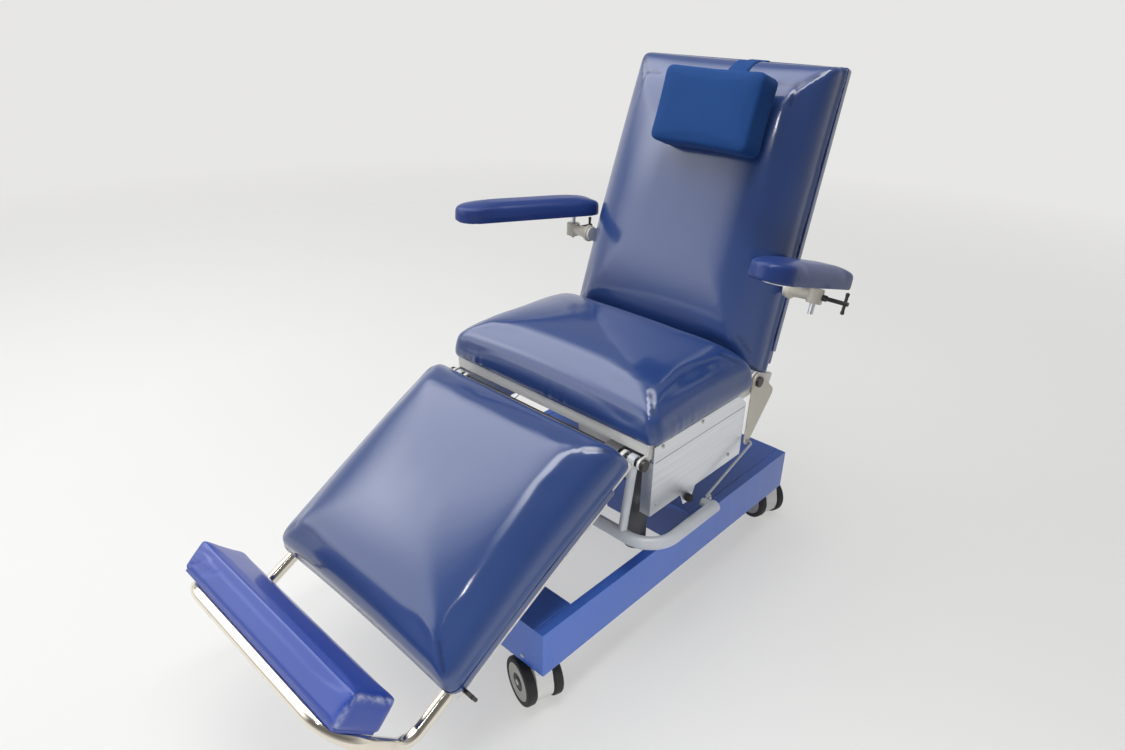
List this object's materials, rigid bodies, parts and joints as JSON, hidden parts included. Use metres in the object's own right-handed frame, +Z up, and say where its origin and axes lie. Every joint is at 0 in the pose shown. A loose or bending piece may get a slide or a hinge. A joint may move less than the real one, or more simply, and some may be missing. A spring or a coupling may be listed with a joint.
{
  "type": "dialysis chair",
  "caption": "Upholstered medical treatment chair on a braked castor base, with a lifting seat, reclining back, raising leg rest and adjustable arm pads.",
  "frame": {"origin": "on the floor under the middle of the chair's bounding box", "axes": "+Z up, -Y the way the sitter faces, +X the sitter's left"},
  "size_m": [0.9068, 1.366, 1.1202],
  "materials": {
    "blue_paint": "satin",
    "white_paint": "satin",
    "cream_paint": "satin",
    "grey_paint": "satin",
    "blue_vinyl": "gloss",
    "vinyl_board": "satin",
    "navy_cloth": "matte",
    "royal_vinyl": "satin",
    "brushed_steel": "satin",
    "chrome": "polished",
    "dark_steel": "satin",
    "grey_plastic": "matte",
    "white_plastic": "gloss",
    "black_rubber": "matte",
    "plywood": "satin"
  },
  "bodies": {
    "base": {"base_rail_left": "blue_paint", "base_rail_right": "blue_paint", "base_front_beam": "blue_paint", "base_deck": "blue_paint", "column_outer": "white_paint", "lift_motor": "grey_plastic"},
    "lift_middle": {"column_middle": "white_paint"},
    "carriage": {"column_inner": "white_paint", "seat_pan": "white_paint", "seat_cushion": "blue_vinyl", "side_panel_left": "brushed_steel", "side_panel_right": "brushed_steel", "hinge_plate_left": "white_paint", "hinge_plate_right": "white_paint", "back_bolt_left": "dark_steel", "back_bolt_right": "dark_steel", "panel_buffer_left": "black_rubber", "panel_buffer_right": "black_rubber", "leg_motor": "grey_plastic"},
    "back": {"back_frame": "white_paint", "back_board": "vinyl_board", "back_cushion": "blue_vinyl", "pillow_strap": "navy_cloth"},
    "pillow": {"head_pillow": "navy_cloth"},
    "leg": {"leg_frame": "white_paint", "leg_shaft": "dark_steel", "leg_cushion": "blue_vinyl"},
    "foot": {"foot_tube": "chrome", "foot_board": "plywood", "foot_pad": "royal_vinyl"},
    "foot_clamp": {"foot_clamp": "dark_steel"},
    "release_bar": {"release_bar": "grey_paint"},
    "arm_bracket_left": {"arm_bracket_left": "cream_paint"},
    "arm_clamp_left": {"arm_clamp_left": "dark_steel"},
    "arm_pin_left": {"arm_pin_left": "brushed_steel"},
    "arm_left": {"arm_plate_left": "brushed_steel", "arm_pad_left": "blue_vinyl"},
    "release_rod_left": {"release_rod_left": "brushed_steel"},
    "lock_lever_left": {"lock_lever_left": "cream_paint"},
    "arm_bracket_right": {"arm_bracket_right": "cream_paint"},
    "arm_clamp_right": {"arm_clamp_right": "dark_steel"},
    "arm_pin_right": {"arm_pin_right": "brushed_steel"},
    "arm_right": {"arm_plate_right": "brushed_steel", "arm_pad_right": "blue_vinyl"},
    "release_rod_right": {"release_rod_right": "brushed_steel"},
    "lock_lever_right": {"lock_lever_right": "cream_paint"},
    "castor_fl": {"castor_fl_hood": "white_plastic"},
    "castor_fl_wheels": {"castor_fl_wheels": "black_rubber"},
    "castor_fl_pedal": {"castor_fl_pedal": "grey_plastic"},
    "castor_fr": {"castor_fr_hood": "white_plastic"},
    "castor_fr_wheels": {"castor_fr_wheels": "black_rubber"},
    "castor_fr_pedal": {"castor_fr_pedal": "grey_plastic"},
    "castor_rl": {"castor_rl_hood": "white_plastic"},
    "castor_rl_wheels": {"castor_rl_wheels": "black_rubber"},
    "castor_rl_pedal": {"castor_rl_pedal": "grey_plastic"},
    "castor_rr": {"castor_rr_hood": "white_plastic"},
    "castor_rr_wheels": {"castor_rr_wheels": "black_rubber"},
    "castor_rr_pedal": {"castor_rr_pedal": "grey_plastic"}
  },
  "joints": [
    {"name": "lift", "type": "slide", "parent": "base", "child": "carriage", "axis": [0, 0, 1], "range_m": [0, 0.2]},
    {"name": "lift_half", "type": "slide", "parent": "base", "child": "lift_middle", "axis": [0, 0, 1], "range_m": [0, 0.1]},
    {"name": "back_recline", "type": "hinge", "parent": "carriage", "child": "back", "pos_m": [0.03012, 0.39821, 0.48], "axis": [-1, 0, 0], "range_deg": [0, 70]},
    {"name": "leg_raise", "type": "hinge", "parent": "carriage", "child": "leg", "pos_m": [0.03012, 0.00821, 0.437], "axis": [-1, 0, 0], "range_deg": [0, 30]},
    {"name": "foot_slide", "type": "slide", "parent": "leg", "child": "foot", "axis": [0, -0.8746, -0.4848], "range_m": [0, 0.1]},
    {"name": "foot_clamp_turn", "type": "hinge", "parent": "leg", "child": "foot_clamp", "pos_m": [0.29742, -0.44134, 0.19604], "axis": [1, 0, 0], "range_deg": [-90, 90]},
    {"name": "release", "type": "hinge", "parent": "carriage", "child": "release_bar", "pos_m": [0.03012, 0.00821, 0.437], "axis": [-1, 0, 0], "range_deg": [0, 4], "stiffness_Nm_per_rad": 40, "springref_deg": -17.19},
    {"name": "pillow_slide", "type": "slide", "parent": "back", "child": "pillow", "axis": [0, 0.3123, 0.95], "range_m": [-0.12, 0.02]},
    {"name": "release_rod_left", "type": "hinge", "parent": "release_bar", "child": "release_rod_left", "pos_m": [0.03012, 0.21221, 0.274], "axis": [-1, 0, 0], "range_deg": [-10, 0]},
    {"name": "lock_lever_left", "type": "hinge", "parent": "carriage", "child": "lock_lever_left", "pos_m": [0.03012, 0.39821, 0.48], "axis": [-1, 0, 0], "range_deg": [0, 7.5]},
    {"name": "arm_tilt_left", "type": "hinge", "parent": "back", "child": "arm_bracket_left", "pos_m": [0.38012, 0.48596, 0.67326], "axis": [-1, 0, 0], "range_deg": [-20, 60]},
    {"name": "arm_clamp_left", "type": "hinge", "parent": "arm_bracket_left", "child": "arm_clamp_left", "pos_m": [0.39742, 0.48596, 0.67326], "axis": [1, 0, 0], "range_deg": [-180, 180]},
    {"name": "arm_height_left", "type": "slide", "parent": "arm_bracket_left", "child": "arm_pin_left", "axis": [0, 0.284, 0.9588], "range_m": [0, 0.036]},
    {"name": "arm_swing_left", "type": "hinge", "parent": "arm_pin_left", "child": "arm_left", "pos_m": [0.38012, 0.49173, 0.69272], "axis": [0, 0.284, 0.9588], "range_deg": [-16, 16]},
    {"name": "release_rod_right", "type": "hinge", "parent": "release_bar", "child": "release_rod_right", "pos_m": [0.03012, 0.21221, 0.274], "axis": [-1, 0, 0], "range_deg": [-10, 0]},
    {"name": "lock_lever_right", "type": "hinge", "parent": "carriage", "child": "lock_lever_right", "pos_m": [0.03012, 0.39821, 0.48], "axis": [-1, 0, 0], "range_deg": [0, 7.5]},
    {"name": "arm_tilt_right", "type": "hinge", "parent": "back", "child": "arm_bracket_right", "pos_m": [-0.31988, 0.48596, 0.67326], "axis": [-1, 0, 0], "range_deg": [-8, 70]},
    {"name": "arm_clamp_right", "type": "hinge", "parent": "arm_bracket_right", "child": "arm_clamp_right", "pos_m": [-0.31988, 0.50324, 0.67236], "axis": [0, 0.9986, -0.0523], "range_deg": [-180, 180]},
    {"name": "arm_height_right", "type": "slide", "parent": "arm_bracket_right", "child": "arm_pin_right", "axis": [0, 0.0523, 0.9986], "range_m": [-0.018, 0.018]},
    {"name": "arm_swing_right", "type": "hinge", "parent": "arm_pin_right", "child": "arm_right", "pos_m": [-0.31988, 0.48796, 0.71151], "axis": [0, 0.0523, 0.9986], "range_deg": [-12, 26]},
    {"name": "castor_fl_swivel", "type": "hinge", "parent": "base", "child": "castor_fl", "pos_m": [0.29213, -0.24879, 0], "axis": [0, 0, 1], "continuous": true},
    {"name": "castor_fl_roll", "type": "hinge", "parent": "castor_fl", "child": "castor_fl_wheels", "pos_m": [0.27109, -0.24236, 0.05], "axis": [0.2924, 0.9563, 0], "continuous": true},
    {"name": "castor_fl_brake", "type": "hinge", "parent": "castor_fl", "child": "castor_fl_pedal", "pos_m": [0.21753, -0.22599, 0.064], "axis": [0.2924, 0.9563, 0], "range_deg": [0, 15]},
    {"name": "castor_fr_swivel", "type": "hinge", "parent": "base", "child": "castor_fr", "pos_m": [-0.23187, -0.24879, 0], "axis": [0, 0, 1], "continuous": true},
    {"name": "castor_fr_roll", "type": "hinge", "parent": "castor_fr", "child": "castor_fr_wheels", "pos_m": [-0.25291, -0.24236, 0.05], "axis": [0.2924, 0.9563, 0], "continuous": true},
    {"name": "castor_fr_brake", "type": "hinge", "parent": "castor_fr", "child": "castor_fr_pedal", "pos_m": [-0.30647, -0.22599, 0.064], "axis": [0.2924, 0.9563, 0], "range_deg": [0, 15]},
    {"name": "castor_rl_swivel", "type": "hinge", "parent": "base", "child": "castor_rl", "pos_m": [0.29213, 0.59071, 0], "axis": [0, 0, 1], "continuous": true},
    {"name": "castor_rl_roll", "type": "hinge", "parent": "castor_rl", "child": "castor_rl_wheels", "pos_m": [0.27109, 0.59714, 0.05], "axis": [0.2924, 0.9563, 0], "continuous": true},
    {"name": "castor_rl_brake", "type": "hinge", "parent": "castor_rl", "child": "castor_rl_pedal", "pos_m": [0.21753, 0.61351, 0.064], "axis": [0.2924, 0.9563, 0], "range_deg": [0, 15]},
    {"name": "castor_rr_swivel", "type": "hinge", "parent": "base", "child": "castor_rr", "pos_m": [-0.23187, 0.59071, 0], "axis": [0, 0, 1], "continuous": true},
    {"name": "castor_rr_roll", "type": "hinge", "parent": "castor_rr", "child": "castor_rr_wheels", "pos_m": [-0.25291, 0.59714, 0.05], "axis": [0.2924, 0.9563, 0], "continuous": true},
    {"name": "castor_rr_brake", "type": "hinge", "parent": "castor_rr", "child": "castor_rr_pedal", "pos_m": [-0.30647, 0.61351, 0.064], "axis": [0.2924, 0.9563, 0], "range_deg": [0, 15]}
  ],
  "couplings": [
    {"joint": "lift_half", "follows": "lift", "ratio": 0.5},
    {"joint": "release_rod_left", "follows": "release", "ratio": -2.4074},
    {"joint": "lock_lever_left", "follows": "release", "ratio": 1.8146},
    {"joint": "release_rod_right", "follows": "release", "ratio": -2.4074},
    {"joint": "lock_lever_right", "follows": "release", "ratio": 1.8146}
  ]
}
